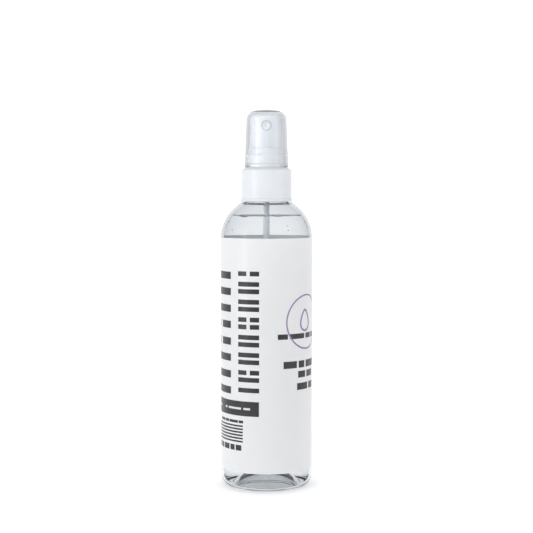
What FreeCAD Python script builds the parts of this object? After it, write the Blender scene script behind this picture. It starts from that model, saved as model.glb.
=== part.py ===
import FreeCAD, Part

import math
import os

V = FreeCAD.Vector

# Lens cleaning spray: a clear 180 mL round bottle with a 20-410 fine mist sprayer.
# Millimetres. +Z is up, the origin is the centre of the base, and the nozzle faces -Y.

# ---- bottle -------------------------------------------------------------------------
BODY_R = 22.3
WALL = 1.1
HEEL_R = 5.0
PUSH_UP_R = 15.8
PUSH_UP_H = 7.0
SHOULDER_Z = 121.3
SHOULDER_H = 21.25
SHELF_R = 12.4
NECK_ROOT_R = 8.85
NECK_BORE_R = 7.4
LAND_Z = 152.35
BEAD_R = 9.75
BEAD_Z = 143.3

# ---- neck thread, shared with the closure -------------------------------------------
PITCH = 3.175
THREAD_TURNS = 1.5
NECK_CREST_R = 9.85
CLOSURE_CREST_R = 9.25
THREAD_TOP_Z = 150.65
RIDGE_ROOT_W = 1.7
RIDGE_CREST_W = 0.7

# ---- contents and label -------------------------------------------------------------
FILL_Z = 133.4
LIQUID_GAP = 0.05
TUBE_HOLE_R = 1.75
LABEL_T = 0.1
LABEL_BOTTOM_Z = 9.2
LABEL_TOP_Z = 122.2
LABEL_SEAM_W = 1.2

# ---- closure ------------------------------------------------------------------------
SKIRT_R = 12.1
SKIRT_BORE_R = 10.15
SKIRT_Z = 139.6
RIM_R = 12.65
RIM_TOP_Z = 140.85
DECK_UNDER_Z = 154.35
DECK_TOP_Z = 156.25
DECK_EDGE_R = 10.3
DECK_HOLE_R = 5.0
TURRET_R = 9.46
TURRET_NECK_R = 8.95
TURRET_RIM_R = 8.9
SNAP_Z = 158.3
TURRET_BORE_R = 8.45
TURRET_TOP_Z = 165.55

# ---- pump ---------------------------------------------------------------------------
HOUSING_R = 4.6
CHAMBER_R = 3.6
HOUSING_TOP_Z = 162.15
FLANGE_R = 8.8
FLANGE_Z = 153.15
FLANGE_TOP_Z = 154.15
SPRING_SEAT_Z = 149.45
BALL_STOP_Z = 149.05
BALL_SEAT_Z = 146.15
SOCKET_Z = 140.15
SOCKET_R = 2.6
TUBE_R = 1.425
TUBE_BORE_R = 0.85
TUBE_TOP_Z = 145.65
TUBE_END_Z = 10.4
BALL_R = 1.2
STEM_R = 1.95
STEM_BORE_R = 0.9
STEM_TOP_Z = 172.75
PLATE_TOP_Z = 163.15
ROD_HEAD_Z = 157.95
STEM_FOOT_Z = 159.15
STEM_FOOT_R = 1.5
PISTON_Z = 158.75
PISTON_R = 3.57
PISTON_BORE_R = 1.56
SPRING_R = 2.5
WIRE_R = 0.275
WIRE_SIDES = 12
SPRING_TURNS = 6
GASKET_R = 9.2
GASKET_BORE_R = 5.1
RETAINER_FOOT_R = 6.9
RETAINER_R = 5.7
PISTON_LIP_R = 3.1
PISTON_WEB_R = 2.4
ROD_HEAD_R = 2.95
ROD_PIN_R = 1.7
STEM_STOP_R = 2.9
RUNNING_GAP = 0.08
BALL_BORE_R = 1.65
INLET_R = 0.8
OUTLET_R = 0.95

# ---- actuator and overcap -----------------------------------------------------------
ACTUATOR_R = 8.25
ACTUATOR_FOOT_R = 8.1
ACTUATOR_ROUND = 3.0
POST_R = 3.4
BOSS_R = 3.1
CHANNEL_R = 0.7
ACTUATOR_Z = 163.05
ACTUATOR_TOP_Z = 182.3
DISH_DEPTH = 1.4
DISH_R = 11.9
ROOF_Z = 178.8
POST_Z = 168.6
SKIRT_INNER_R = 7.3
NOZZLE_Z = 176.4
NOZZLE_R = 2.15
NOZZLE_SEAT_Y = -5.0
NOZZLE_FACE_Y = -7.7
OVERCAP_Z = 156.3
OVERCAP_TOP_Z = 184.3
OVERCAP_WALL = 0.8


# ---- drawing helpers: profiles lie in the XZ plane and are turned about Z ------------
def at(point):
    return V(point[0], 0, point[1])


def line(a, b):
    return Part.LineSegment(at(a), at(b)).toShape()


def bend(a, middle, b):
    return Part.Arc(at(a), at(middle), at(b)).toShape()


def corner(centre, radius, start_deg, end_deg):
    """An arc about centre, with angles from +X towards +Z."""
    angles = [math.radians(d) for d in (start_deg, (start_deg + end_deg) / 2, end_deg)]
    points = [(centre[0] + radius * math.cos(a), centre[1] + radius * math.sin(a)) for a in angles]
    return bend(*points)


def chain(points):
    return [line(a, b) for a, b in zip(points, points[1:])]


def turned(edges):
    face = Part.Face(Part.Wire(Part.__sortEdges__(edges)))
    return Part.Solid(face.revolve(V(0, 0, 0), V(0, 0, 1), 360))


def lathe(points):
    return turned(chain(points + [points[0]]))


def rod(radius, low_z, high_z):
    return Part.makeCylinder(radius, high_z - low_z, V(0, 0, low_z))


def ring(outer_r, inner_r, low_z, high_z):
    return rod(outer_r, low_z, high_z).cut(rod(inner_r, low_z - 1, high_z + 1))


def forward(radius, from_y, to_y, z):
    """A round bar along Y at height z."""
    return Part.makeCylinder(radius, from_y - to_y, V(0, from_y, z), V(0, -1, 0))


def ridge(root_r, crest_r, top_z):
    """A helical thread ridge that runs down from top_z, rooted 0.3 mm inside the wall."""
    height = THREAD_TURNS * PITCH
    low_z = top_z - height
    flank = (RIDGE_ROOT_W - RIDGE_CREST_W) / 2 / abs(crest_r - root_r)
    buried_r = root_r + math.copysign(0.3, root_r - crest_r)
    buried_half = RIDGE_ROOT_W / 2 + 0.3 * flank
    crest_half = RIDGE_CREST_W / 2
    section = Part.makePolygon([
        V(buried_r, 0, low_z - buried_half), V(crest_r, 0, low_z - crest_half),
        V(crest_r, 0, low_z + crest_half), V(buried_r, 0, low_z + buried_half),
        V(buried_r, 0, low_z - buried_half),
    ])
    path = Part.makeHelix(PITCH, height, (root_r + crest_r) / 2)
    path.translate(V(0, 0, low_z))
    return Part.Wire(path).makePipeShell([section], True, True)


# ---- bottle, liquid and label -------------------------------------------------------
def shoulder(radius, height, end_r):
    """Elliptical shoulder from the side wall in to end_r, and the height it ends at."""
    centre = V(0, 0, SHOULDER_Z)
    ellipse = Part.Ellipse(V(radius, 0, SHOULDER_Z), V(0, 0, SHOULDER_Z + height), centre)
    turn = math.acos(end_r / radius)
    end_z = SHOULDER_Z + height * math.sin(turn)
    edge = Part.ArcOfEllipse(ellipse, 0, turn).toShape()
    return edge, end_z


def dome(height, radius, foot_z):
    """Spherical push-up from the axis at height down to radius at foot_z."""
    rise = height - foot_z
    sphere_r = (radius ** 2 + rise ** 2) / (2 * rise)
    half = math.asin(radius / sphere_r) / 2
    middle = (sphere_r * math.sin(half), height - sphere_r * (1 - math.cos(half)))
    return bend((0, height), middle, (radius, foot_z))


def bottle():
    outer_curve, shelf_z = shoulder(BODY_R, SHOULDER_H, SHELF_R)
    inner_r = BODY_R - WALL
    under_r = SHELF_R - WALL / 3
    inner_curve, under_z = shoulder(inner_r, SHOULDER_H - WALL, under_r)
    inner_heel_r = HEEL_R - WALL
    edges = [dome(PUSH_UP_H, PUSH_UP_R, 0)]
    edges += chain([(PUSH_UP_R, 0), (BODY_R - HEEL_R, 0)])
    edges += [corner((BODY_R - HEEL_R, HEEL_R), HEEL_R, -90, 0)]
    edges += chain([(BODY_R, HEEL_R), (BODY_R, SHOULDER_Z)])
    edges += [outer_curve]
    edges += chain([(SHELF_R, shelf_z), (NECK_ROOT_R, shelf_z), (NECK_ROOT_R, LAND_Z)])
    edges += chain([(NECK_ROOT_R, LAND_Z), (NECK_BORE_R, LAND_Z), (NECK_BORE_R, under_z), (under_r, under_z)])
    edges += [inner_curve]
    edges += chain([(inner_r, SHOULDER_Z), (inner_r, HEEL_R)])
    edges += [corner((BODY_R - HEEL_R, HEEL_R), inner_heel_r, 0, -90)]
    edges += chain([(BODY_R - HEEL_R, WALL), (PUSH_UP_R - WALL / 2, WALL)])
    edges += [dome(PUSH_UP_H + WALL, PUSH_UP_R - WALL / 2, WALL)]
    edges += chain([(0, PUSH_UP_H + WALL), (0, PUSH_UP_H)])
    body = turned(edges)
    bead = lathe([(NECK_ROOT_R - 0.3, BEAD_Z - 0.7), (BEAD_R, BEAD_Z - 0.3), (BEAD_R, BEAD_Z + 0.3),
                  (NECK_ROOT_R - 0.3, BEAD_Z + 0.7)])
    return body.fuse(bead).fuse(ridge(NECK_ROOT_R, NECK_CREST_R, THREAD_TOP_Z)).Solids[0]


def lens_solution():
    """The liquid, which fills the bottle to FILL_Z round the dip tube."""
    skin = WALL + LIQUID_GAP
    inner_r = BODY_R - skin
    surface_turn = math.asin((FILL_Z - SHOULDER_Z) / (SHOULDER_H - skin))
    surface_r = inner_r * math.cos(surface_turn)
    curve, _ = shoulder(inner_r, SHOULDER_H - skin, surface_r)
    heel_r = HEEL_R - skin
    foot_r = PUSH_UP_R - WALL / 2
    edges = [dome(PUSH_UP_H + skin, foot_r, skin)]
    edges += chain([(foot_r, skin), (BODY_R - HEEL_R, skin)])
    edges += [corner((BODY_R - HEEL_R, HEEL_R), heel_r, -90, 0)]
    edges += chain([(inner_r, HEEL_R), (inner_r, SHOULDER_Z)])
    edges += [curve]
    edges += chain([(surface_r, FILL_Z), (0, FILL_Z), (0, PUSH_UP_H + skin)])
    return turned(edges).cut(rod(TUBE_HOLE_R, TUBE_END_Z - 0.5, FILL_Z + 1))


def label():
    """Wrap label, with a narrow gap between its ends at the back."""
    wrap = ring(BODY_R + LABEL_T, BODY_R, LABEL_BOTTOM_Z, LABEL_TOP_Z)
    seam = Part.makeBox(LABEL_SEAM_W, 5, 200, V(-LABEL_SEAM_W / 2, BODY_R - 2, 0))
    return wrap.cut(seam)


# ---- closure and its gasket ---------------------------------------------------------
def closure():
    """Screw cap with a collar rim, a deck, and the turret that the actuator works in."""
    shell = lathe([
        (SKIRT_BORE_R, SKIRT_Z), (RIM_R, SKIRT_Z), (RIM_R, RIM_TOP_Z), (SKIRT_R, RIM_TOP_Z + 0.3),
        (SKIRT_R, DECK_TOP_Z - 1.35), (DECK_EDGE_R, DECK_TOP_Z - 0.1), (DECK_EDGE_R - 0.3, DECK_TOP_Z),
        (TURRET_NECK_R, DECK_TOP_Z), (TURRET_NECK_R, SNAP_Z - 0.4), (TURRET_R, SNAP_Z),
        (TURRET_R, SNAP_Z + 3.6), (9.0, SNAP_Z + 4.8), (TURRET_RIM_R, TURRET_TOP_Z),
        (TURRET_BORE_R, TURRET_TOP_Z), (TURRET_BORE_R, DECK_TOP_Z),
        (DECK_HOLE_R, DECK_TOP_Z), (DECK_HOLE_R, DECK_UNDER_Z), (SKIRT_BORE_R, DECK_UNDER_Z),
    ])
    thread = ridge(SKIRT_BORE_R, CLOSURE_CREST_R, THREAD_TOP_Z - PITCH / 2)
    return shell.fuse(thread).Solids[0]


def gasket():
    return ring(GASKET_R, GASKET_BORE_R, LAND_Z, FLANGE_Z)


# ---- pump ---------------------------------------------------------------------------
def pump_housing():
    """Pump barrel: flange, chamber, ball seat and the socket for the dip tube."""
    barrel = lathe([
        (INLET_R, TUBE_TOP_Z), (INLET_R, BALL_SEAT_Z), (BALL_BORE_R, BALL_SEAT_Z + BALL_BORE_R - INLET_R),
        (BALL_BORE_R, BALL_STOP_Z), (OUTLET_R, BALL_STOP_Z), (OUTLET_R, SPRING_SEAT_Z),
        (CHAMBER_R, SPRING_SEAT_Z), (CHAMBER_R, HOUSING_TOP_Z),
        (HOUSING_R, HOUSING_TOP_Z), (HOUSING_R, FLANGE_TOP_Z), (FLANGE_R, FLANGE_TOP_Z),
        (FLANGE_R, FLANGE_Z), (HOUSING_R, FLANGE_Z), (HOUSING_R, BALL_SEAT_Z + 2.2),
        (SOCKET_R, BALL_SEAT_Z - 0.2), (SOCKET_R, SOCKET_Z), (TUBE_R, SOCKET_Z), (TUBE_R, TUBE_TOP_Z),
    ])
    vent_z = PISTON_Z + 1.1
    vent = Part.makeCylinder(0.35, 2.0, V(0, 3.0, vent_z), V(0, 1, 0))
    groove = Part.makeBox(1.0, 0.9, vent_z + 0.5 - FLANGE_Z, V(-0.5, 4.25, FLANGE_Z - 0.1))
    return barrel.cut(vent).cut(groove)


def housing_retainer():
    """Cap that snaps over the barrel above the deck and guides the stem."""
    lip_z = DECK_TOP_Z + 0.2
    return lathe([
        (HOUSING_R, lip_z), (RETAINER_FOOT_R, lip_z), (RETAINER_FOOT_R, lip_z + 1.0),
        (RETAINER_R, lip_z + 1.6), (RETAINER_R, PLATE_TOP_Z - 0.5), (RETAINER_R - 0.5, PLATE_TOP_Z),
        (STEM_R + RUNNING_GAP, PLATE_TOP_Z), (STEM_R + RUNNING_GAP, HOUSING_TOP_Z),
        (HOUSING_R, HOUSING_TOP_Z),
    ])


def dip_tube():
    """Straight tube with a V-cut lower end, so that the bottle's base can't seal it."""
    tube = ring(TUBE_R, TUBE_BORE_R, TUBE_END_Z, TUBE_TOP_Z)
    notch = Part.Face(Part.makePolygon([
        V(-0.9, -5, TUBE_END_Z - 0.1), V(0, -5, TUBE_END_Z + 2.2), V(0.9, -5, TUBE_END_Z - 0.1),
        V(-0.9, -5, TUBE_END_Z - 0.1),
    ])).extrude(V(0, 10, 0))
    return tube.cut(notch)


def inlet_ball():
    """Check ball, resting on the 45 degree seat of the barrel."""
    rest_z = BALL_SEAT_Z - INLET_R + BALL_R * math.sqrt(2) + 0.02
    return Part.makeSphere(BALL_R, V(0, 0, rest_z))


def return_spring():
    """Coil spring, one length of helix to a turn. The round wire is drawn with narrow flats."""
    low_z = SPRING_SEAT_Z + WIRE_R + 0.02
    height = ROD_HEAD_Z - SPRING_SEAT_Z - 2 * WIRE_R - 0.04
    path = Part.makeLongHelix(height / SPRING_TURNS, height, SPRING_R)
    path.translate(V(0, 0, low_z))
    outline = []
    for side in range(WIRE_SIDES + 1):
        angle = 2 * math.pi * side / WIRE_SIDES
        outline.append(V(SPRING_R + WIRE_R * math.cos(angle), 0, low_z + WIRE_R * math.sin(angle)))
    section = Part.makePolygon(outline)
    return Part.Wire(path.Edges).makePipeShell([section], True, True)


def valve_rod():
    """Rod that plugs into the stem from below: guide pin, spring head, valve cone, shank."""
    cone_z = STEM_FOOT_Z - 0.05
    return lathe([
        (0, ROD_HEAD_Z - 3.2), (ROD_PIN_R - 0.3, ROD_HEAD_Z - 3.2), (ROD_PIN_R, ROD_HEAD_Z - 2.8),
        (ROD_PIN_R, ROD_HEAD_Z), (ROD_HEAD_R, ROD_HEAD_Z), (ROD_HEAD_R, ROD_HEAD_Z + 0.6),
        (ROD_HEAD_R - 0.65, ROD_HEAD_Z + 0.6), (STEM_FOOT_R - 0.15, cone_z),
        (STEM_BORE_R, cone_z), (STEM_BORE_R, ROD_HEAD_Z + 5.8), (0, ROD_HEAD_Z + 5.8),
    ])


def piston():
    """Two-lipped piston, a running fit in the barrel and on the foot of the stem."""
    low = PISTON_Z
    return lathe([
        (PISTON_BORE_R, low + 0.4), (PISTON_WEB_R, low - 0.1), (PISTON_WEB_R + 0.3, low + 0.5),
        (PISTON_LIP_R, low), (PISTON_R, low), (PISTON_R - 0.07, low + 0.8), (PISTON_R - 0.07, low + 1.3),
        (PISTON_R, low + 2.0), (PISTON_LIP_R, low + 2.0), (PISTON_WEB_R + 0.3, low + 1.5),
        (PISTON_WEB_R, low + 2.0), (PISTON_BORE_R, low + 2.0),
    ])


def stem():
    """Hollow stem: foot that the piston slides on, stop flange, and the top for the actuator."""
    stop_z = HOUSING_TOP_Z - 0.1
    return lathe([
        (STEM_BORE_R, STEM_FOOT_Z), (STEM_FOOT_R, STEM_FOOT_Z), (STEM_FOOT_R, stop_z - 0.65),
        (STEM_STOP_R, stop_z - 0.65), (STEM_STOP_R, stop_z), (STEM_R, stop_z),
        (STEM_R, STEM_TOP_Z - 0.3), (STEM_R - 0.3, STEM_TOP_Z), (STEM_BORE_R, STEM_TOP_Z),
    ])


# ---- actuator -----------------------------------------------------------------------
def actuator():
    """Push button: skirt, finger dish, stem socket and the channel to the nozzle."""
    centre = (ACTUATOR_R - ACTUATOR_ROUND, ACTUATOR_TOP_Z - ACTUATOR_ROUND)
    edges = chain([(0, ROOF_Z), (SKIRT_INNER_R, ROOF_Z), (SKIRT_INNER_R, ACTUATOR_Z)])
    edges += chain([(SKIRT_INNER_R, ACTUATOR_Z), (ACTUATOR_FOOT_R, ACTUATOR_Z), (ACTUATOR_R, centre[1])])
    edges += [corner(centre, ACTUATOR_ROUND, 0, 90)]
    edges += chain([(centre[0], ACTUATOR_TOP_Z), (0, ACTUATOR_TOP_Z), (0, ROOF_Z)])
    shell = turned(edges)
    post = rod(POST_R, POST_Z, ROOF_Z + 0.1)
    boss = forward(BOSS_R, 0, NOZZLE_FACE_Y + 0.1, NOZZLE_Z)
    body = shell.fuse(post).fuse(boss)
    dish_axis_z = ACTUATOR_TOP_Z - DISH_DEPTH + DISH_R
    body = body.cut(forward(DISH_R, 20, -20, dish_axis_z))
    body = body.cut(rod(STEM_R + 0.05, POST_Z - 1, STEM_TOP_Z + 0.05))
    body = body.cut(rod(CHANNEL_R, STEM_TOP_Z, NOZZLE_Z + CHANNEL_R))
    body = body.cut(forward(CHANNEL_R, 0, NOZZLE_SEAT_Y - 1, NOZZLE_Z))
    return body.cut(forward(NOZZLE_R, NOZZLE_SEAT_Y, -12, NOZZLE_Z))


def nozzle_insert():
    """Swirl cup pressed into the actuator, with the spray orifice in its face."""
    cup = forward(NOZZLE_R, NOZZLE_SEAT_Y, NOZZLE_FACE_Y, NOZZLE_Z)
    swirl = forward(1.1, NOZZLE_SEAT_Y + 0.1, NOZZLE_FACE_Y + 1.1, NOZZLE_Z)
    orifice = forward(0.2, NOZZLE_SEAT_Y, NOZZLE_FACE_Y - 1, NOZZLE_Z)
    flare = Part.makeCone(0.2, 1.2, 0.7, V(0, NOZZLE_FACE_Y + 0.65, NOZZLE_Z), V(0, -1, 0))
    return cup.cut(swirl).cut(orifice).cut(flare)


# ---- overcap ------------------------------------------------------------------------
def overcap():
    """Clear dust cap: stepped lower band, tapered wall, rounded and slightly crowned top."""
    top_z = OVERCAP_TOP_Z
    roof_z = top_z - OVERCAP_WALL
    snap_z = SNAP_Z - 1.0
    edges = chain([(10.52, OVERCAP_Z), (10.45, 161.9), (10.27, 162.6), (10.03, 170.5)])
    edges += [bend((10.03, 170.5), (9.87, 175.3), (9.6, 179.6))]
    edges += [bend((9.6, 179.6), (8.75, 182.0), (6.0, top_z - 0.65))]
    edges += [dome(top_z, 6.0, top_z - 0.65)]
    edges += chain([(0, top_z), (0, roof_z)])
    edges += [dome(roof_z, 5.7, roof_z - 0.63)]
    edges += [bend((5.7, roof_z - 0.63), (8.05, 181.5), (8.8, 179.4))]
    edges += [bend((8.8, 179.4), (9.07, 175.2), (9.22, 170.5))]
    edges += chain([(9.22, 170.5), (9.45, 163.9), (9.72, 162.7), (9.72, snap_z + 0.6), (9.52, snap_z + 0.3)])
    edges += chain([(9.52, snap_z + 0.3), (9.52, snap_z - 0.3), (9.72, snap_z - 0.6), (9.72, OVERCAP_Z)])
    edges += chain([(9.72, OVERCAP_Z), (10.52, OVERCAP_Z)])
    return turned(edges)


PIECES = {
    "bottle": bottle,
    "lens_solution": lens_solution,
    "label": label,
    "closure": closure,
    "gasket": gasket,
    "pump_housing": pump_housing,
    "housing_retainer": housing_retainer,
    "dip_tube": dip_tube,
    "inlet_ball": inlet_ball,
    "return_spring": return_spring,
    "valve_rod": valve_rod,
    "piston": piston,
    "stem": stem,
    "actuator": actuator,
    "nozzle_insert": nozzle_insert,
    "overcap": overcap,
}

os.makedirs("parts", exist_ok=True)
for name, make in PIECES.items():
    shape = make()
    solids = len(shape.Solids)
    print(f"{name:18s} valid {shape.isValid()} solids {solids} volume {shape.Volume / 1000:.3f} mL")
    shape.exportStep(f"parts/{name}.step")
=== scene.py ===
import math
import random

import bmesh
import bpy
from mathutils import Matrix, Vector, noise

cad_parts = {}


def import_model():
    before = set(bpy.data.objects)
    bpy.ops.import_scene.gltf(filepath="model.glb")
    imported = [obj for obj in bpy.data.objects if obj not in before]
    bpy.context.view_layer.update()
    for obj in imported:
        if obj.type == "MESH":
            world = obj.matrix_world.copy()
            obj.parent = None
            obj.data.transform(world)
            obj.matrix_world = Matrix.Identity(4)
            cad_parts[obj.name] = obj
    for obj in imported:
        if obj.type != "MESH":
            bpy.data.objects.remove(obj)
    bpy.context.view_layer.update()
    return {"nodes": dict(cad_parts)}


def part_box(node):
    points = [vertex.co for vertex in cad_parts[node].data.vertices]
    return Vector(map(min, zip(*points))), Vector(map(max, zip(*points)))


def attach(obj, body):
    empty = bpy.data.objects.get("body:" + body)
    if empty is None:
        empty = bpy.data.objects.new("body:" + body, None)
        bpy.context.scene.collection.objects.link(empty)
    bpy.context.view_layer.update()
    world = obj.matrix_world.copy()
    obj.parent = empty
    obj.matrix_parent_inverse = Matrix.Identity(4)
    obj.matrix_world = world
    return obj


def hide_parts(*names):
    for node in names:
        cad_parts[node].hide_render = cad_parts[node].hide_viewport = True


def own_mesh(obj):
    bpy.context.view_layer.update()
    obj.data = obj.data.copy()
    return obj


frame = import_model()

# Lens cleaning spray: clear bottle, liquid, label, white fine mist sprayer and clear overcap.
# Profiles are (radius, height) in millimetres about +Z; the nozzle faces -Y.
MM = 0.001


def extent(node):
    """A node's outer radius, lowest height and highest height, in millimetres."""
    low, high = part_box(node)
    return high.x / MM, low.z / MM, high.z / MM


BODY_R, _, LAND_Z = extent("bottle")
LABEL_R, LABEL_LOW_Z, LABEL_TOP_Z = extent("label")
_, _, FILL_Z = extent("lens_solution")
RIM_R, SKIRT_Z, TURRET_TOP_Z = extent("closure")
ACTUATOR_R, ACTUATOR_Z, _ = extent("actuator")
CAP_R, CAP_Z, CAP_TOP_Z = extent("overcap")
TUBE_R, _, _ = extent("dip_tube")

# bottle
WALL = 1.1
INNER_R = BODY_R - WALL
HEEL_R = 5.0
PUSH_UP_R = 15.8
PUSH_UP_H = 7.0
SHOULDER_Z = 121.3
SHOULDER_H = 21.25
SHELF_R = 12.4
NECK_R = 8.85
NECK_BORE_R = 7.4
BEAD_Z = 143.3
BEAD_H = 0.9

# liquid
LIQUID_GAP = 0.05
SURFACE_DROP = 0.9
BUBBLES = 14

# threads
PITCH = 3.175
THREAD_TOP_Z = 150.65
THREAD_TURNS = 1.5
THREAD_DEPTH = 0.95
THREAD_W = 1.7

# closure
SKIRT_R = 12.1
SKIRT_BORE_R = 10.15
DECK_TOP_Z = 156.25
SKIRT_ROOF_Z = 154.35
DECK_EDGE_R = 10.3
DECK_BORE_R = 5.0
TURRET_R = 8.95
TURRET_BAND_R = 9.46
TURRET_BORE_R = 8.45
RIBS = 96
RIB_DEPTH = 0.05

# actuator
ACTUATOR_FOOT_R = 8.1
ACTUATOR_ROUND = 3.3
HEAD_BORE_R = 7.3
HEAD_ROOF_Z = 178.8
POST_R = 3.4
POST_Z = 168.6
SOCKET_R = 2.0
SOCKET_TOP_Z = 172.8
CHANNEL_R = 0.7
CHANNEL_TOP_Z = 176.0
ACTUATOR_TOP_Z = 182.3
DISH_Z = 180.9
DISH_R = 11.9
DISH_EDGE = 0.28
NOZZLE_Z = 176.4
NOZZLE_R = 2.15
NOZZLE_FLOOR_Y = -7.0

# overcap: outside and inside radii
CROWN_R = 6.0
CROWN_DROP = 0.65
CAP_WALL_TOP = (9.6, 179.6)
CAP_WALL_MID = (10.03, 170.5)
ROOF_R = 5.7
ROOF_T = 0.8
ROOF_DROP = 1.43
CAP_BORE_TOP = (8.8, 179.4)
CAP_BORE_MID = (9.22, 170.5)
CAP_BORE_R = 9.72
SNAP_R = 9.52

# return spring
SPRING_R = 2.5
SPRING_TURNS = 6


# ---- profiles -------------------------------------------------------------------------
def rounded(corners, closed=False, steps=5):
    """Points along straight runs whose corners, given as (radius, height, rounding), are rounded."""
    points = []
    for i, (r, z, rounding) in enumerate(corners):
        here = Vector((r, z))
        at_end = not closed and i in (0, len(corners) - 1)
        if rounding == 0 or at_end:
            points.append(here)
            continue
        back = Vector(corners[i - 1][:2]) - here
        ahead = Vector(corners[(i + 1) % len(corners)][:2]) - here
        reach = rounding / math.tan(back.angle(ahead) / 2)
        reach = min(reach, 0.48 * back.length, 0.48 * ahead.length)
        start = here + back.normalized() * reach
        end = here + ahead.normalized() * reach
        for k in range(steps + 1):
            t = k / steps
            points.append(start * (1 - t) ** 2 + here * 2 * t * (1 - t) + end * t * t)
    return points


def arc(centre, radius, start_deg, end_deg, steps):
    """Arc points about centre, with angles from +X towards +Z."""
    points = []
    for k in range(steps + 1):
        a = math.radians(start_deg + (end_deg - start_deg) * k / steps)
        points.append(Vector((centre[0] + radius * math.cos(a), centre[1] + radius * math.sin(a))))
    return points


def through(start, middle, end, steps=14):
    """Points of the circular arc from start to end that passes through middle."""
    (ax, ay), (bx, by), (cx, cy) = start, middle, end
    twice = 2 * (ax * (by - cy) + bx * (cy - ay) + cx * (ay - by))
    a, b, c = ax * ax + ay * ay, bx * bx + by * by, cx * cx + cy * cy
    centre = ((a * (by - cy) + b * (cy - ay) + c * (ay - by)) / twice,
              (a * (cx - bx) + b * (ax - cx) + c * (bx - ax)) / twice)
    first = math.atan2(ay - centre[1], ax - centre[0])
    turn = math.atan2(cy - centre[1], cx - centre[0]) - first
    turn = (turn + math.pi) % (2 * math.pi) - math.pi
    return arc(centre, math.dist(start, centre), math.degrees(first), math.degrees(first + turn), steps)


def shoulder(radius, height, end_r, steps=48):
    """Elliptical shoulder from the side wall in to end_r."""
    turn = math.acos(end_r / radius)
    points = []
    for k in range(steps + 1):
        a = turn * k / steps
        points.append(Vector((radius * math.cos(a), SHOULDER_Z + height * math.sin(a))))
    return points


def dome(height, radius, foot_z, steps=24):
    """Spherical cap from the axis at height down to radius at foot_z."""
    rise = height - foot_z
    sphere_r = (radius ** 2 + rise ** 2) / (2 * abs(rise))
    points = []
    for k in range(steps + 1):
        r = radius * k / steps
        drop = sphere_r - math.sqrt(sphere_r ** 2 - r ** 2)
        points.append(Vector((r, height - math.copysign(drop, rise))))
    return points


def spaced(points, step, low_z=-1e9, high_z=1e9):
    """The same line with extra points, no further apart than step between the two heights."""
    out = [points[0]]
    for a, b in zip(points, points[1:]):
        inside = low_z <= min(a.y, b.y) and max(a.y, b.y) <= high_z
        parts = max(1, math.ceil((b - a).length / step)) if inside else 1
        out += [a.lerp(b, k / parts) for k in range(1, parts + 1)]
    return out


# ---- meshes ---------------------------------------------------------------------------
def even_angles(count):
    return [2 * math.pi * k / count for k in range(count)]


def finished(name, bm, body, material, sharp_deg=35):
    """Makes a piece from a bmesh in millimetres, smooth but for its sharp edges, riding on body."""
    bmesh.ops.scale(bm, vec=(MM, MM, MM), verts=bm.verts)
    mesh = bpy.data.meshes.new(name)
    bm.to_mesh(mesh)
    bm.free()
    mesh.shade_smooth()
    mesh.set_sharp_from_angle(angle=math.radians(sharp_deg))
    mesh.materials.append(material)
    piece = bpy.data.objects.new(name, mesh)
    bpy.context.scene.collection.objects.link(piece)
    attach(piece, body)
    return piece


def lathe(profile, angles, closed=False, shape=None):
    """Turns a profile about Z into a closed bmesh. shape(point, angle) may move each point."""
    bm = bmesh.new()
    rings = []
    for r, z in profile:
        if r < 1e-4:
            point = Vector((0, 0, z))
            rings.append([bm.verts.new(shape(point, 0) if shape else point)])
            continue
        ring = []
        for a in angles:
            point = Vector((r * math.sin(a), -r * math.cos(a), z))
            ring.append(bm.verts.new(shape(point, a) if shape else point))
        rings.append(ring)
    pairs = list(zip(rings, rings[1:]))
    if closed:
        pairs.append((rings[-1], rings[0]))
    count = len(angles)
    for low, high in pairs:
        for k in range(count):
            n = (k + 1) % count
            if len(low) == 1:
                bm.faces.new((low[0], high[n], high[k]))
            elif len(high) == 1:
                bm.faces.new((low[k], low[n], high[0]))
            else:
                bm.faces.new((low[k], low[n], high[n], high[k]))
    bmesh.ops.recalc_face_normals(bm, faces=bm.faces)
    return bm


def moved_out(point, amount):
    """point moved away from the Z axis by amount."""
    r = math.hypot(point.x, point.y)
    if r < 1e-6:
        return point
    return Vector((point.x * (r + amount) / r, point.y * (r + amount) / r, point.z))


def smooth_step(value, low, high):
    t = min(1.0, max(0.0, (value - low) / (high - low)))
    return t * t * (3 - 2 * t)


def thread_height(z, angle, top_z):
    """Share of the ridge's height that a right-hand helix, which ends at top_z, has here."""
    height = 0.0
    low_z = top_z - THREAD_TURNS * PITCH
    for turn in range(-1, 3):
        travelled = angle / (2 * math.pi) + turn
        centre_z = low_z + travelled * PITCH
        ends = smooth_step(travelled, -0.02, 0.04)
        ends *= 1 - smooth_step(travelled, THREAD_TURNS - 0.04, THREAD_TURNS + 0.02)
        height = max(height, ends * (1 - smooth_step(abs(z - centre_z), 0.3, THREAD_W / 2)))
    return height


# ---- materials ------------------------------------------------------------------------
def node_tree(name):
    material = bpy.data.materials.new(name)
    material.use_nodes = True
    tree = material.node_tree
    return material, tree, tree.nodes["Principled BSDF"]


def add(tree, kind, **values):
    """A node with its properties and its named or numbered input values set."""
    node = tree.nodes.new(kind)
    for key, value in values.items():
        if key.startswith("in_"):
            name = key[3:].replace("_", " ")
            node.inputs[int(name) if name.isdigit() else name.title()].default_value = value
        else:
            setattr(node, key, value)
    return node


def noise_at(tree, scale, detail=3.0, stretch=(1, 1, 1)):
    """Noise in the object's own space, scale per metre, stretched along the axes."""
    where = add(tree, "ShaderNodeTexCoord")
    mapping = add(tree, "ShaderNodeMapping", in_Scale=stretch)
    texture = add(tree, "ShaderNodeTexNoise", in_Scale=scale, in_Detail=detail)
    tree.links.new(where.outputs["Object"], mapping.inputs["Vector"])
    tree.links.new(mapping.outputs["Vector"], texture.inputs["Vector"])
    return texture.outputs["Fac"]


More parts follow.
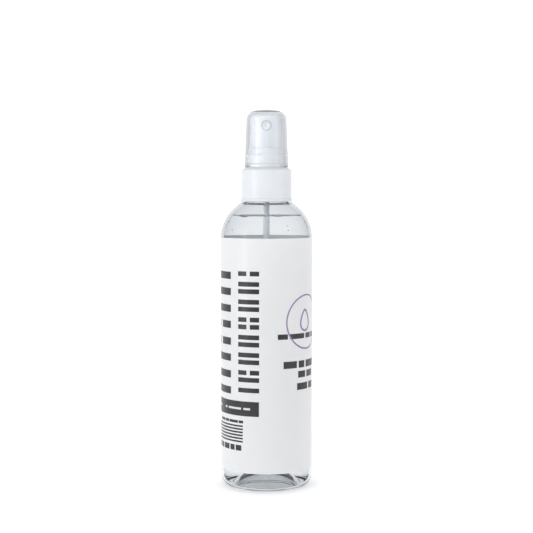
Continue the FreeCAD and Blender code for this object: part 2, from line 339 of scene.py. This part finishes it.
def remap(tree, value, low, high):
    node = add(tree, "ShaderNodeMapRange", in_1=0.3, in_2=0.7, in_3=low, in_4=high)
    tree.links.new(value, node.inputs["Value"])
    return node.outputs["Result"]


def two_tone(tree, value, first, second):
    mix = add(tree, "ShaderNodeMix", data_type="RGBA")
    mix.inputs[6].default_value = (*first, 1)
    mix.inputs[7].default_value = (*second, 1)
    tree.links.new(value, mix.inputs[0])
    return mix.outputs[2]


def bumpy(tree, value, distance, strength=1.0):
    node = add(tree, "ShaderNodeBump", in_Strength=strength, in_Distance=distance)
    tree.links.new(value, node.inputs["Height"])
    return node.outputs["Normal"]


def moulded(name, light, dark, rough=(0.3, 0.4), grain=2500, grain_depth=4e-6, stretch=(1, 1, 1), **sockets):
    """Moulded plastic or similar: mottled colour, uneven gloss and a fine grain."""
    material, tree, shader = node_tree(name)
    for key, value in sockets.items():
        shader.inputs[key.replace("_", " ")].default_value = value
    tint = two_tone(tree, remap(tree, noise_at(tree, 160, 4, stretch), 0, 1), light, dark)
    tree.links.new(tint, shader.inputs["Base Color"])
    tree.links.new(remap(tree, noise_at(tree, 420, 3, stretch), *rough), shader.inputs["Roughness"])
    tree.links.new(bumpy(tree, noise_at(tree, grain, 2, stretch), grain_depth), shader.inputs["Normal"])
    return material


def clear(name, centre, painted_rim, ior, rough=(0.01, 0.03), wave=120, wave_depth=2e-5, blend=0.3):
    """Clear plastic or liquid. Its colour blends from the centre colour to a painted rim shade towards a
    glancing angle (painted lighter for the liquid), and it lets shadows through.
    """
    material, tree, shader = node_tree(name)
    shader.inputs["Transmission Weight"].default_value = 1.0
    shader.inputs["IOR"].default_value = ior
    painted_rim_mask = add(tree, "ShaderNodeLayerWeight", in_Blend=blend)
    # Painted rim shade: the facing mask blends the base colour to the rim colour at glancing edges. This
    # stands in for the dark surroundings seen in them (lighter for the liquid).
    tint = two_tone(tree, painted_rim_mask.outputs["Facing"], centre, painted_rim)
    tree.links.new(tint, shader.inputs["Base Color"])
    tree.links.new(remap(tree, noise_at(tree, 300), *rough), shader.inputs["Roughness"])
    tree.links.new(bumpy(tree, noise_at(tree, wave, 2), wave_depth), shader.inputs["Normal"])
    path = add(tree, "ShaderNodeLightPath")
    shadow = add(tree, "ShaderNodeBsdfTransparent")
    shadow.inputs["Color"].default_value = (0.98, 0.985, 0.99, 1)
    mix = add(tree, "ShaderNodeMixShader")
    tree.links.new(path.outputs["Is Shadow Ray"], mix.inputs["Fac"])
    tree.links.new(shader.outputs["BSDF"], mix.inputs[1])
    tree.links.new(shadow.outputs["BSDF"], mix.inputs[2])
    tree.links.new(mix.outputs["Shader"], tree.nodes["Material Output"].inputs["Surface"])
    return material


def brushed(name, colour, rough):
    """Steel with fine drawn lines."""
    return moulded(name, colour, [c * 0.85 for c in colour], rough, grain=3000, grain_depth=6e-6,
                   stretch=(1, 1, 6), Metallic=1.0)


# The second colour of each clear material is a painted rim shade: darker at glancing edges on the plastics,
# painted lighter at the liquid's edges.
PET = clear("clear_pet", (0.965, 0.975, 0.98), (0.70, 0.73, 0.76), 1.14)
OVERCAP_PP = clear("clear_pp", (0.985, 0.99, 0.993), (0.66, 0.68, 0.71), 1.22, blend=0.45)
SOLUTION = clear("solution", (0.84, 0.845, 0.845), (0.90, 0.905, 0.91), 1.08,
                 rough=(0.0, 0.005), wave=60, wave_depth=1e-5)
# The meniscus's dark grey, darkest at its glancing rim, is painted shade for the dark line that a clear
# meniscus shows by bending light.
MENISCUS_PAINTED_SHADE = clear("meniscus", (0.62, 0.64, 0.65), (0.30, 0.32, 0.34), 1.33,
                 rough=(0.0, 0.005), wave=200, wave_depth=2e-5)
WHITE_PP = moulded("white_pp", (0.81, 0.83, 0.855), (0.78, 0.805, 0.835), (0.3, 0.42))
NATURAL_PP = moulded("natural_pp", (0.72, 0.74, 0.76), (0.66, 0.69, 0.72), (0.25, 0.35),
                     Subsurface_Weight=0.3)
NATURAL_PE = moulded("natural_pe", (0.84, 0.89, 0.93), (0.78, 0.83, 0.88), (0.3, 0.4), stretch=(1, 1, 0.2))
GASKET_FOAM = moulded("gasket_foam", (0.80, 0.80, 0.78), (0.70, 0.70, 0.69), (0.7, 0.9),
                      grain=4000, grain_depth=3e-5)
STEEL_BALL = brushed("steel_ball", (0.62, 0.62, 0.64), (0.08, 0.14))
SPRING_STEEL = brushed("spring_steel", (0.60, 0.60, 0.62), (0.2, 0.35))
FILM_GRAIN = {"grain": 1800, "grain_depth": 3e-6}
PAPER = moulded("label_paper", (0.93, 0.93, 0.93), (0.915, 0.915, 0.918), (0.32, 0.4), **FILM_GRAIN,
                Subsurface_Weight=0.3, Subsurface_Scale=0.0012, Subsurface_Radius=(1, 1, 1))
BLACK_INK = moulded("black_ink", (0.012, 0.012, 0.013), (0.02, 0.02, 0.022), (0.3, 0.4), **FILM_GRAIN)
PURPLE_INK = moulded("purple_ink", (0.26, 0.17, 0.36), (0.30, 0.20, 0.40), (0.3, 0.4), **FILM_GRAIN)
PALE_INK = moulded("pale_ink", (0.70, 0.70, 0.71), (0.66, 0.66, 0.67), (0.3, 0.4), **FILM_GRAIN)


# ---- bottle and liquid ----------------------------------------------------------------
def wall_radius(z):
    """The bottle's inner radius at a height on its side wall or shoulder."""
    rise = max(0.0, (z - SHOULDER_Z) / (SHOULDER_H - WALL))
    return INNER_R * math.sqrt(1 - rise ** 2)


def wall_wave(point, angle):
    """How unevenly the blown wall lies inside, in millimetres, fading out at base and shoulder."""
    where = Vector((2 * math.sin(angle), 2 * math.cos(angle), point.z / 30))
    fade = smooth_step(point.z, 4, 16) * (1 - smooth_step(point.z, 128, 139))
    return 0.12 * fade * noise.noise(where)


def bottle():
    outer_top = shoulder(BODY_R, SHOULDER_H, SHELF_R)
    inner_top = shoulder(INNER_R, SHOULDER_H - WALL, SHELF_R - WALL / 3)
    shelf_z = outer_top[-1].y
    under_z = inner_top[-1].y
    heel = (BODY_R - HEEL_R, HEEL_R)
    outside = dome(PUSH_UP_H, PUSH_UP_R - 0.3, 0.25)
    outside += rounded([(PUSH_UP_R - 0.3, 0.25, 0), (PUSH_UP_R + 0.5, 0, 0.8), (heel[0], 0, 0)])[1:-1]
    outside += arc(heel, HEEL_R, -90, 0, 16)
    outside += [Vector((BODY_R, LABEL_LOW_Z)), Vector((BODY_R, LABEL_TOP_Z - 5))]
    outside += outer_top[:-1]
    neck = rounded([
        (SHELF_R, shelf_z, 0), (SKIRT_BORE_R + 0.1, SKIRT_Z - 0.12, 0.6), (NECK_R, SKIRT_Z + 1.6, 0.8),
        (NECK_R, BEAD_Z - 0.7, 0.1),
        (NECK_R + BEAD_H, BEAD_Z - 0.3, 0.15), (NECK_R + BEAD_H, BEAD_Z + 0.3, 0.15),
        (NECK_R, BEAD_Z + 0.7, 0.15), (NECK_R, LAND_Z, 0.3), (NECK_BORE_R, LAND_Z, 0.3),
        (NECK_BORE_R, SKIRT_Z + 1.2, 0.8), (SKIRT_BORE_R - 0.9, SKIRT_Z - 0.7, 0.8),
        (SHELF_R - WALL / 3, under_z, 0),
    ])
    neck = spaced(neck, 0.25, BEAD_Z + 0.9, LAND_Z - 0.3)
    inside = inner_top[::-1][1:]
    inside += spaced([Vector((INNER_R, SHOULDER_Z)), Vector((INNER_R, HEEL_R))], 4.0)[1:]
    inside += arc(heel, HEEL_R - WALL, 0, -90, 12)[1:]
    inside += dome(PUSH_UP_H + WALL, PUSH_UP_R - WALL / 2, WALL)[::-1]
    inner_from = len(outside) + len(neck)
    profile = outside + neck + inside
    inner_heights = {round(p.y, 4) for p in profile[inner_from:]}

    def shape(point, angle):
        r = math.hypot(point.x, point.y)
        if BEAD_Z + 0.9 < point.z < LAND_Z - 0.4 and r > NECK_R - 0.01:
            return moved_out(point, THREAD_DEPTH * thread_height(point.z, angle, THREAD_TOP_Z))
        if round(point.z, 4) in inner_heights and r < BODY_R - 0.5 * WALL:
            return moved_out(point, wall_wave(point, angle))
        return point

    bm = lathe(profile, even_angles(180), shape=shape)
    piece = finished("bottle_shell", bm, "bottle", PET)
    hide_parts("bottle")


def liquid_top(r, angle):
    """Height of the liquid's surface: slow ripples, and a meniscus that climbs the wall unevenly."""
    wall_r = wall_radius(FILL_Z)
    where = Vector((r * math.sin(angle) / 7, r * math.cos(angle) / 7, 3.7))
    ripple = 0.22 * noise.noise(where)
    round_wall = Vector((2.2 * math.sin(angle), 2.2 * math.cos(angle), 8.1))
    climb = 0.35 + 0.5 * noise.noise(round_wall) + 0.2 * noise.noise(round_wall * 3)
    near_wall = math.exp(-max(0.0, wall_r - r) / 1.1)
    near_tube = math.exp(-max(0.0, r - TUBE_R) / 0.7)
    return FILL_Z - SURFACE_DROP + ripple + climb * near_wall + 0.35 * near_tube


def bubbles(bm, rng):
    """Small air bubbles under the surface and against the wall, as cavities in the liquid."""
    for _ in range(BUBBLES):
        angle = rng.uniform(0, 2 * math.pi)
        radius = rng.uniform(0.25, 0.6)
        depth = rng.choice([0.8, 1.2, 2.5, 6.0]) + radius
        z = FILL_Z - SURFACE_DROP - depth
        r = wall_radius(z) - LIQUID_GAP - radius - 0.35
        made = bmesh.ops.create_icosphere(bm, subdivisions=3, radius=radius)
        for v in made["verts"]:
            v.co = Vector((v.co.x + r * math.sin(angle), v.co.y - r * math.cos(angle), v.co.z * 0.85 + z))
        bmesh.ops.reverse_faces(bm, faces=list({f for v in made["verts"] for f in v.link_faces}))


def solution():
    skin = WALL + LIQUID_GAP
    inner_r = BODY_R - skin
    surface_turn = math.asin((FILL_Z - 0.6 - SHOULDER_Z) / (SHOULDER_H - skin))
    surface_r = inner_r * math.cos(surface_turn)
    foot_r = PUSH_UP_R - WALL / 2
    profile = dome(PUSH_UP_H + skin, foot_r, skin)
    profile += arc((BODY_R - HEEL_R, HEEL_R), HEEL_R - skin, -90, 0, 12)
    profile += spaced([Vector((inner_r, HEEL_R)), Vector((inner_r, SHOULDER_Z))], 4.0)[1:]
    profile += shoulder(inner_r, SHOULDER_H - skin, surface_r)[1:]
    steps = 60
    profile += [Vector((surface_r * (1 - k / steps) ** 1.3, 500)) for k in range(1, steps + 1)]

    def shape(point, angle):
        r = math.hypot(point.x, point.y)
        if point.z > 400:
            return Vector((point.x, point.y, liquid_top(r, angle)))
        if point.z > FILL_Z - 3:
            top = liquid_top(r, angle)
            return Vector((point.x, point.y, min(point.z, top)))
        return moved_out(point, wall_wave(point, angle))

    bm = lathe(profile, even_angles(144), shape=shape)
    bubbles(bm, random.Random(4))
    piece = finished("lens_solution_body", bm, "bottle", SOLUTION)
    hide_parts("lens_solution")


def meniscus():
    """The uneven rim of liquid that clings to the wall at the fill line."""
    wall_r = wall_radius(FILL_Z) - 0.12
    section = [Vector((wall_r - 0.45 + 0.45 * math.cos(a), 500 + math.sin(a))) for a in even_angles(12)]

    def shape(point, angle):
        where = Vector((3 * math.sin(angle), 3 * math.cos(angle), 1.7))
        sag = 0.45 + 1.1 * max(0.0, noise.noise(where)) + 0.35 * max(0.0, noise.noise(where * 4))
        rise = point.z - 500
        return Vector((point.x, point.y, FILL_Z - 0.45 + (0.25 * rise if rise > 0 else sag * rise)))

    bm = lathe(section, even_angles(288), closed=True, shape=shape)
    # The ring's dark grey material is painted shade.
    finished("meniscus_rim", bm, "bottle", MENISCUS_PAINTED_SHADE)


# ---- label and its print --------------------------------------------------------------
PRINT_R = LABEL_R
PAPER_R = LABEL_R - 0.015
PRINT_STEP = 0.7


def wrapped(name, shapes, outer_r, inner_r, material):
    """A thin closed skin on the bottle from flat shapes, each two rows of (across, up) points."""
    bm = bmesh.new()
    for first, second, closed in shapes:
        rows = []
        for row in (first, second):
            line = []
            for u, z in row:
                a = u / LABEL_R
                line.append(bm.verts.new((outer_r * math.sin(a), -outer_r * math.cos(a), z)))
            rows.append(line)
        count = len(first)
        for k in range(count if closed else count - 1):
            n = (k + 1) % count
            bm.faces.new((rows[0][k], rows[0][n], rows[1][n], rows[1][k]))
    bmesh.ops.recalc_face_normals(bm, faces=bm.faces)
    for face in bm.faces:
        face.normal_update()
        middle = face.calc_center_median()
        if face.normal.dot(Vector((middle.x, middle.y, 0))) < 0:
            face.normal_flip()
    bmesh.ops.solidify(bm, geom=list(bm.faces), thickness=outer_r - inner_r)
    return finished(name, bm, "bottle", material)


def strip(left, right, low, high):
    """A shape between the curves low(u) and high(u)."""
    count = max(2, math.ceil((right - left) / PRINT_STEP) + 1)
    across = [left + (right - left) * k / (count - 1) for k in range(count)]
    return [(u, low(u)) for u in across], [(u, high(u)) for u in across], False


def bar(left, right, low, high):
    return strip(left, right, lambda u: low, lambda u: high)


def stroke(points, width):
    """A closed outline of even width."""
    inner, outer = [], []
    for k, here in enumerate(points):
        along = points[(k + 1) % len(points)] - points[k - 1]
        side = Vector((-along.y, along.x)).normalized() * width / 2
        inner.append(here + side)
        outer.append(here - side)
    return inner, outer, True


def droplet(centre_u, low_z, radius, height, count=96):
    """Outline of a drop: a circle below and a point above."""
    points = []
    for k in range(count):
        a = 2 * math.pi * k / count
        pull = (0.5 + 0.5 * math.cos(a)) ** 2.2
        u = centre_u + radius * math.sin(a) * (1 - 0.35 * pull)
        z = low_z + radius + radius * math.cos(a) + pull * (height - 2 * radius)
        points.append(Vector((u, z)))
    return points


def degrees_across(degrees):
    return math.radians(degrees) * LABEL_R


def marks(kind, left, right, low, high):
    """One abstract mark of bold bars, filling its cell."""
    thick = 0.31 * (high - low)
    middle = (left + right) / 2
    gap = 0.08 * (right - left)
    if kind == "bars":
        return [bar(left, right, low, low + thick), bar(left, right, high - thick, high)]
    if kind == "split":
        return [bar(left, right, low, low + thick), bar(left, middle - gap, high - thick, high),
                bar(middle + gap, right, high - thick, high)]
    return [bar(left, middle - gap, low, low + thick), bar(middle + gap, right, low, low + thick),
            bar(left, right, high - thick, high)]


def column(left_deg, right_deg, top, bottom, kinds, gap):
    """Marks one above another, as a column of type that reads upwards."""
    left, right = degrees_across(left_deg), degrees_across(right_deg)
    pitch = (top - bottom + gap) / len(kinds)
    shapes = []
    for k, kind in enumerate(kinds):
        high = top - k * pitch
        shapes += marks(kind, left, right, high - pitch + gap, high)
    return shapes


def words(left, low, high, lengths, gap):
    """A line of type as plain bars of the given lengths."""
    shapes = []
    for length in lengths:
        shapes.append(bar(left, left + length, low, high))
        left += length + gap
    return shapes


def centred(centre_deg, low, high, lengths, gap):
    total = sum(lengths) + gap * (len(lengths) - 1)
    return words(degrees_across(centre_deg) - total / 2, low, high, lengths, gap)


def label():
    half_turn = math.pi * LABEL_R
    seam = 0.06
    paper = bar(-half_turn + seam, half_turn - seam, LABEL_LOW_Z, LABEL_TOP_Z)
    piece = wrapped("label_wrap", [paper], PAPER_R, BODY_R + 0.01, PAPER)
    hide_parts("label")

    wide_marks = ["bars", "footed", "split", "bars"]
    small_marks = ["split", "bars", "footed", "split", "bars", "footed", "bars"]
    black = column(-102, -50, 106.0, 47.0, wide_marks, 4.6)
    black += column(-37.3, -9, 106.5, 48.3, small_marks, 1.25)
    black.append(bar(degrees_across(-118), degrees_across(-9.3), 36.9, 44.0))
    black += words(degrees_across(-76), 33.3, 34.6, [5.0, 3.0, 6.0, 2.6], 0.45)
    for k in range(6):
        black.append(bar(degrees_across(-84), degrees_across(-30.6), 31.5 - 1.5 * k, 32.3 - 1.5 * k))
    black += words(degrees_across(-84), 19.9, 22.6, [3.4, 2.4, 4.6, 3.0, 3.4], 0.8)
    black += centred(60, 73.9, 76.4, [5.2, 9.5, 5.0, 13.0], 1.1)
    black += centred(60, 59.8, 63.2, [7.6, 4.2, 9.4, 5.4], 1.2)
    black += centred(60, 55.0, 58.2, [5.4, 6.8], 1.2)
    black += centred(60, 49.1, 52.4, [8.2, 5.4], 1.2)
    for k, lengths in enumerate([[9, 14], [16, 6], [7, 11, 4], [19], [5, 9, 6]]):
        black += centred(137, 96.0 - 4.6 * k, 97.6 - 4.6 * k, lengths, 1.2)
    for k, lengths in enumerate([[12, 8], [6, 13], [17], [8, 9]]):
        black += centred(137, 60.0 - 4.6 * k, 61.6 - 4.6 * k, lengths, 1.2)
    wrapped("print_black", black, PRINT_R, PAPER_R + 0.003, BLACK_INK)

    pale = words(degrees_across(-104), 40.0, 41.0, [6.0, 4.2], 1.3)
    pale += words(degrees_across(-62), 39.9, 40.9, [1.6, 8.4, 3.6], 1.3)
    wrapped("print_pale", pale, PRINT_R + 0.004, PRINT_R - 0.002, PALE_INK)

    ring = arc((degrees_across(59), 81.8), 13.0, 0, 360, 96)[:-1]
    small_drop = droplet(degrees_across(56), 77.6, 3.6, 10.0, 48)
    purple = [stroke(ring, 0.75), stroke(small_drop, 1.0)]
    wrapped("print_purple", purple, PRINT_R + 0.002, PAPER_R + 0.003, PURPLE_INK)


# ---- closure, actuator and overcap ----------------------------------------------------
def closure():
    """Screw closure with fine ribs, a plain lower rim, a chamfered deck and the turret."""
    corners = [
        (SKIRT_BORE_R, SKIRT_Z, 0.2), (RIM_R, SKIRT_Z, 0.3), (RIM_R, SKIRT_Z + 1.25, 0.3),
        (SKIRT_R, SKIRT_Z + 1.55, 0.15), (SKIRT_R, DECK_TOP_Z - 1.35, 0.5),
        (DECK_EDGE_R, DECK_TOP_Z - 0.1, 0.25), (9.9, DECK_TOP_Z, 0.1), (TURRET_R, DECK_TOP_Z, 0.15),
        (TURRET_R, 157.9, 0.1), (TURRET_BAND_R, 158.3, 0.15), (TURRET_BAND_R, 161.9, 0.3), (9.0, 163.1, 0.2),
        (8.9, TURRET_TOP_Z, 0.2), (TURRET_BORE_R, TURRET_TOP_Z, 0.15), (TURRET_BORE_R, DECK_TOP_Z, 0.1),
        (DECK_BORE_R, DECK_TOP_Z, 0.1), (DECK_BORE_R, SKIRT_ROOF_Z, 0.1), (SKIRT_BORE_R, SKIRT_ROOF_Z, 0.4),
    ]
    profile = rounded(corners, closed=True)
    profile = spaced(profile + profile[:1], 0.3, 143, 153.2)[:-1]
    rib_low, rib_high = SKIRT_Z + 2.0, DECK_TOP_Z - 2.1

    def shape(point, angle):
        r = math.hypot(point.x, point.y)
        if r > SKIRT_R - 0.05 and rib_low - 0.3 < point.z < rib_high + 0.3:
            fade = smooth_step(point.z, rib_low - 0.3, rib_low)
            fade *= 1 - smooth_step(point.z, rib_high, rib_high + 0.3)
            return moved_out(point, RIB_DEPTH * fade * (math.cos(RIBS * angle) - 1) / 2)
        if abs(r - SKIRT_BORE_R) < 0.01 and 143 < point.z < 153.2:
            return moved_out(point, -THREAD_DEPTH * thread_height(point.z, angle, THREAD_TOP_Z - PITCH / 2))
        return point

    bm = lathe(profile, even_angles(RIBS * 4), closed=True, shape=shape)
    piece = finished("closure_shell", bm, "closure", WHITE_PP)
    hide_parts("closure")


def nozzle_angles():
    """Angles round the axis that lie close together across the nozzle and wide apart elsewhere."""
    fine = math.radians(20)
    near = [fine * k / 48 for k in range(-48, 49)]
    rest = 2 * math.pi - 2 * fine
    return near + [fine + rest * k / 120 for k in range(1, 120)]


def actuator():
    """Push button with a finger dish across its top and a recess for the nozzle insert."""
    corners = [
        (0, ACTUATOR_TOP_Z, 0), (ACTUATOR_R, ACTUATOR_TOP_Z, ACTUATOR_ROUND),
        (ACTUATOR_FOOT_R, ACTUATOR_Z, 0.25), (HEAD_BORE_R, ACTUATOR_Z, 0.2),
        (HEAD_BORE_R, HEAD_ROOF_Z, 0.4), (POST_R, HEAD_ROOF_Z, 0.3),
        (POST_R, POST_Z, 0.2), (SOCKET_R, POST_Z, 0.2), (SOCKET_R, SOCKET_TOP_Z, 0),
        (CHANNEL_R, SOCKET_TOP_Z, 0), (CHANNEL_R, CHANNEL_TOP_Z, 0), (0, CHANNEL_TOP_Z, 0),
    ]
    profile = rounded(corners, steps=12)
    outer_count = 0
    while profile[outer_count].y > ACTUATOR_Z + 0.6 or outer_count < 2:
        outer_count += 1
    outer_count += 1
    outer = spaced(profile[:outer_count], 0.45)
    outer = spaced(outer, 0.12, NOZZLE_Z - 2.9, NOZZLE_Z + 2.9)
    profile = outer + profile[outer_count:]

    def shape(point, angle):
        r = math.hypot(point.x, point.y)
        if r < HEAD_BORE_R + 0.2 and point.z < HEAD_ROOF_Z + 0.15:
            return point
        dish = DISH_Z + DISH_R - math.sqrt(DISH_R ** 2 - min(abs(point.x), 9.0) ** 2)
        mix = min(1.0, max(0.0, 0.5 + 0.5 * (dish - point.z) / DISH_EDGE))
        z = dish * (1 - mix) + point.z * mix - DISH_EDGE * mix * (1 - mix)
        y = point.y
        if y < 0 and abs(point.z - NOZZLE_Z) < 3.2:
            off = math.hypot(point.x, point.z - NOZZLE_Z)
            inside = 1 - smooth_step(off, NOZZLE_R + 0.03, NOZZLE_R + 0.24)
            y = y * (1 - inside) + max(y, NOZZLE_FLOOR_Y) * inside
        return Vector((point.x, y, z))

    bm = lathe(profile, nozzle_angles(), shape=shape)
    piece = finished("actuator_button", bm, "actuator", WHITE_PP)
    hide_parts("actuator")


def overcap():
    """Clear dust cap with a stepped lower band, a snap bead inside and a crowned top."""
    crown_edge = (CROWN_R, CAP_TOP_Z - CROWN_DROP)
    roof_edge = (ROOF_R, CAP_TOP_Z - ROOF_DROP)
    profile = dome(CAP_TOP_Z, *crown_edge, 16)
    profile += through(crown_edge, (8.75, 182.0), CAP_WALL_TOP)[1:]
    profile += through(CAP_WALL_TOP, (9.87, 175.3), CAP_WALL_MID)[1:]
    lower = [
        (*CAP_WALL_MID, 0), (10.27, 162.9, 0.9), (10.45, 161.6, 0.9), (CAP_R, CAP_Z, 0.3),
        (CAP_BORE_R, CAP_Z, 0.3), (CAP_BORE_R, 156.7, 0.1), (SNAP_R, 157.0, 0.12), (SNAP_R, 157.6, 0.12),
        (CAP_BORE_R, 157.9, 0.1), (CAP_BORE_R, 162.3, 2.0), (9.45, 164.6, 2.0), (*CAP_BORE_MID, 0),
    ]
    profile += rounded(lower, steps=8)[1:]
    profile += through(CAP_BORE_MID, (9.07, 175.2), CAP_BORE_TOP)[1:]
    profile += through(CAP_BORE_TOP, (8.05, 181.5), roof_edge)[1:-1]
    profile += dome(CAP_TOP_Z - ROOF_T, *roof_edge, 16)[::-1]
    bm = lathe(profile, even_angles(180))
    piece = finished("overcap_shell", bm, "overcap", OVERCAP_PP, 60)
    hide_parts("overcap")


def spring():
    """Coil spring. It hangs from the stem."""
    outer_r, low_z, high_z = extent("return_spring")
    wire_r = outer_r - SPRING_R
    steps = 48 * SPRING_TURNS
    climb = high_z - low_z - 2 * wire_r
    bm = bmesh.new()
    rings = []
    for k in range(steps + 1):
        a = 2 * math.pi * k / 48
        ring = []
        for b in even_angles(12):
            r = SPRING_R + wire_r * math.cos(b)
            z = low_z + wire_r + climb * k / steps + wire_r * math.sin(b)
            ring.append(bm.verts.new((r * math.cos(a), r * math.sin(a), z)))
        rings.append(ring)
    for low, high in zip(rings, rings[1:]):
        for k in range(12):
            n = (k + 1) % 12
            bm.faces.new((low[k], low[n], high[n], high[k]))
    bm.faces.new(rings[0])
    bm.faces.new(rings[-1][::-1])
    bmesh.ops.recalc_face_normals(bm, faces=bm.faces)
    piece = finished("spring_coil", bm, "stem", SPRING_STEEL)
    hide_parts("return_spring")
    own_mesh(piece)


def dress(materials):
    """Gives each carried-over CAD node its material."""
    for node, material in materials.items():
        mesh = frame["nodes"][node].data
        mesh.materials.clear()
        mesh.materials.append(material)


# ---- studio ---------------------------------------------------------------------------
def world():
    """White backdrop, with darker flags at both sides that the clear parts pick up at their edges."""
    made = bpy.data.worlds.new("studio")
    bpy.context.scene.world = made
    made.use_nodes = True
    tree = made.node_tree
    background = tree.nodes["Background"]
    where = add(tree, "ShaderNodeTexCoord")
    split = add(tree, "ShaderNodeSeparateXYZ")
    tree.links.new(where.outputs["Generated"], split.inputs["Vector"])
    back = add(tree, "ShaderNodeMath", operation="MULTIPLY", in_1=-1.0)
    tree.links.new(split.outputs["Y"], back.inputs[0])
    turn = add(tree, "ShaderNodeMath", operation="ARCTAN2")
    tree.links.new(split.outputs["X"], turn.inputs[0])
    tree.links.new(back.outputs[0], turn.inputs[1])
    share = add(tree, "ShaderNodeMapRange", in_1=-math.pi, in_2=math.pi)
    tree.links.new(turn.outputs[0], share.inputs["Value"])
    ramp = add(tree, "ShaderNodeValToRGB")
    tree.links.new(share.outputs["Result"], ramp.inputs["Fac"])
    levels = [(-180, 0.88), (-140, 0.86), (-118, 0.45), (-88, 0.42), (-60, 0.70), (-35, 0.68), (-12, 0.32),
              (28, 0.26), (50, 0.50), (72, 0.60), (95, 0.42), (120, 0.45), (142, 0.86), (180, 0.88)]
    while len(ramp.color_ramp.elements) < len(levels):
        ramp.color_ramp.elements.new(0.5)
    for element, (azimuth, level) in zip(ramp.color_ramp.elements, levels):
        element.position = (azimuth + 180) / 360
        element.color = (level * 0.985, level * 0.995, level * 1.01, 1)
    rise = add(tree, "ShaderNodeMapRange", in_1=0.25, in_2=0.85)
    tree.links.new(split.outputs["Z"], rise.inputs["Value"])
    sky = add(tree, "ShaderNodeMix", data_type="RGBA")
    tree.links.new(rise.outputs["Result"], sky.inputs[0])
    tree.links.new(ramp.outputs["Color"], sky.inputs[6])
    sky.inputs[7].default_value = (0.80, 0.81, 0.83, 1)
    seen = add(tree, "ShaderNodeLightPath")
    choose = add(tree, "ShaderNodeMix", data_type="RGBA")
    tree.links.new(seen.outputs["Is Camera Ray"], choose.inputs[0])
    tree.links.new(sky.outputs[2], choose.inputs[6])
    choose.inputs[7].default_value = (1.05, 1.05, 1.05, 1)
    tree.links.new(choose.outputs[2], background.inputs["Color"])


def floor():
    """Large pale floor that carries only a faint shadow."""
    bpy.ops.mesh.primitive_plane_add(size=12, location=(0, 0, -0.0004))
    plane = bpy.context.object
    plane.name = "floor"
    material, _, shader = node_tree("pale_floor")
    shader.inputs["Base Color"].default_value = (0.86, 0.86, 0.87, 1)
    shader.inputs["Roughness"].default_value = 0.9
    shader.inputs["Emission Color"].default_value = (1, 1, 1, 1)
    shader.inputs["Emission Strength"].default_value = 0.42
    plane.data.materials.append(material)


def softbox(name, azimuth, distance, height, size, power, aim_z=0.1):
    """Area light round the object: azimuth 0 is the nozzle's side, 90 is +X."""
    data = bpy.data.lights.new(name, "AREA")
    data.shape = "RECTANGLE"
    data.size, data.size_y = size
    data.energy = power
    light = bpy.data.objects.new(name, data)
    bpy.context.scene.collection.objects.link(light)
    a = math.radians(azimuth)
    light.location = (distance * math.sin(a), -distance * math.cos(a), height)
    aim = Vector((0, 0, aim_z)) - light.location
    light.rotation_euler = aim.to_track_quat("-Z", "Y").to_euler()
    light.visible_camera = False
    return light


def camera():
    data = bpy.data.cameras.new("camera")
    data.lens = 88.07
    data.sensor_width = 36
    data.clip_start = 0.01
    made = bpy.data.objects.new("camera", data)
    bpy.context.scene.collection.objects.link(made)
    made.location = (0, -0.640, 0.14525)
    made.rotation_euler = (math.radians(90 - 3.358), 0, 0)
    bpy.context.scene.camera = made


bottle()
solution()
meniscus()
label()
closure()
actuator()
overcap()
spring()
dress({
    "gasket": GASKET_FOAM, "pump_housing": NATURAL_PP, "housing_retainer": WHITE_PP, "dip_tube": NATURAL_PE,
    "inlet_ball": STEEL_BALL, "valve_rod": NATURAL_PP, "piston": NATURAL_PE,
    "stem": WHITE_PP, "nozzle_insert": WHITE_PP,
})

camera()
world()
floor()
softbox("key", azimuth=-58, distance=0.95, height=0.12, size=(0.12, 1.0), power=3.2, aim_z=0.08)
softbox("fill", azimuth=62, distance=1.0, height=0.16, size=(0.25, 1.1), power=1.7, aim_z=0.08)
softbox("top", azimuth=-10, distance=0.9, height=0.95, size=(0.7, 0.5), power=1.2)
bpy.context.scene.view_settings.view_transform = "Standard"
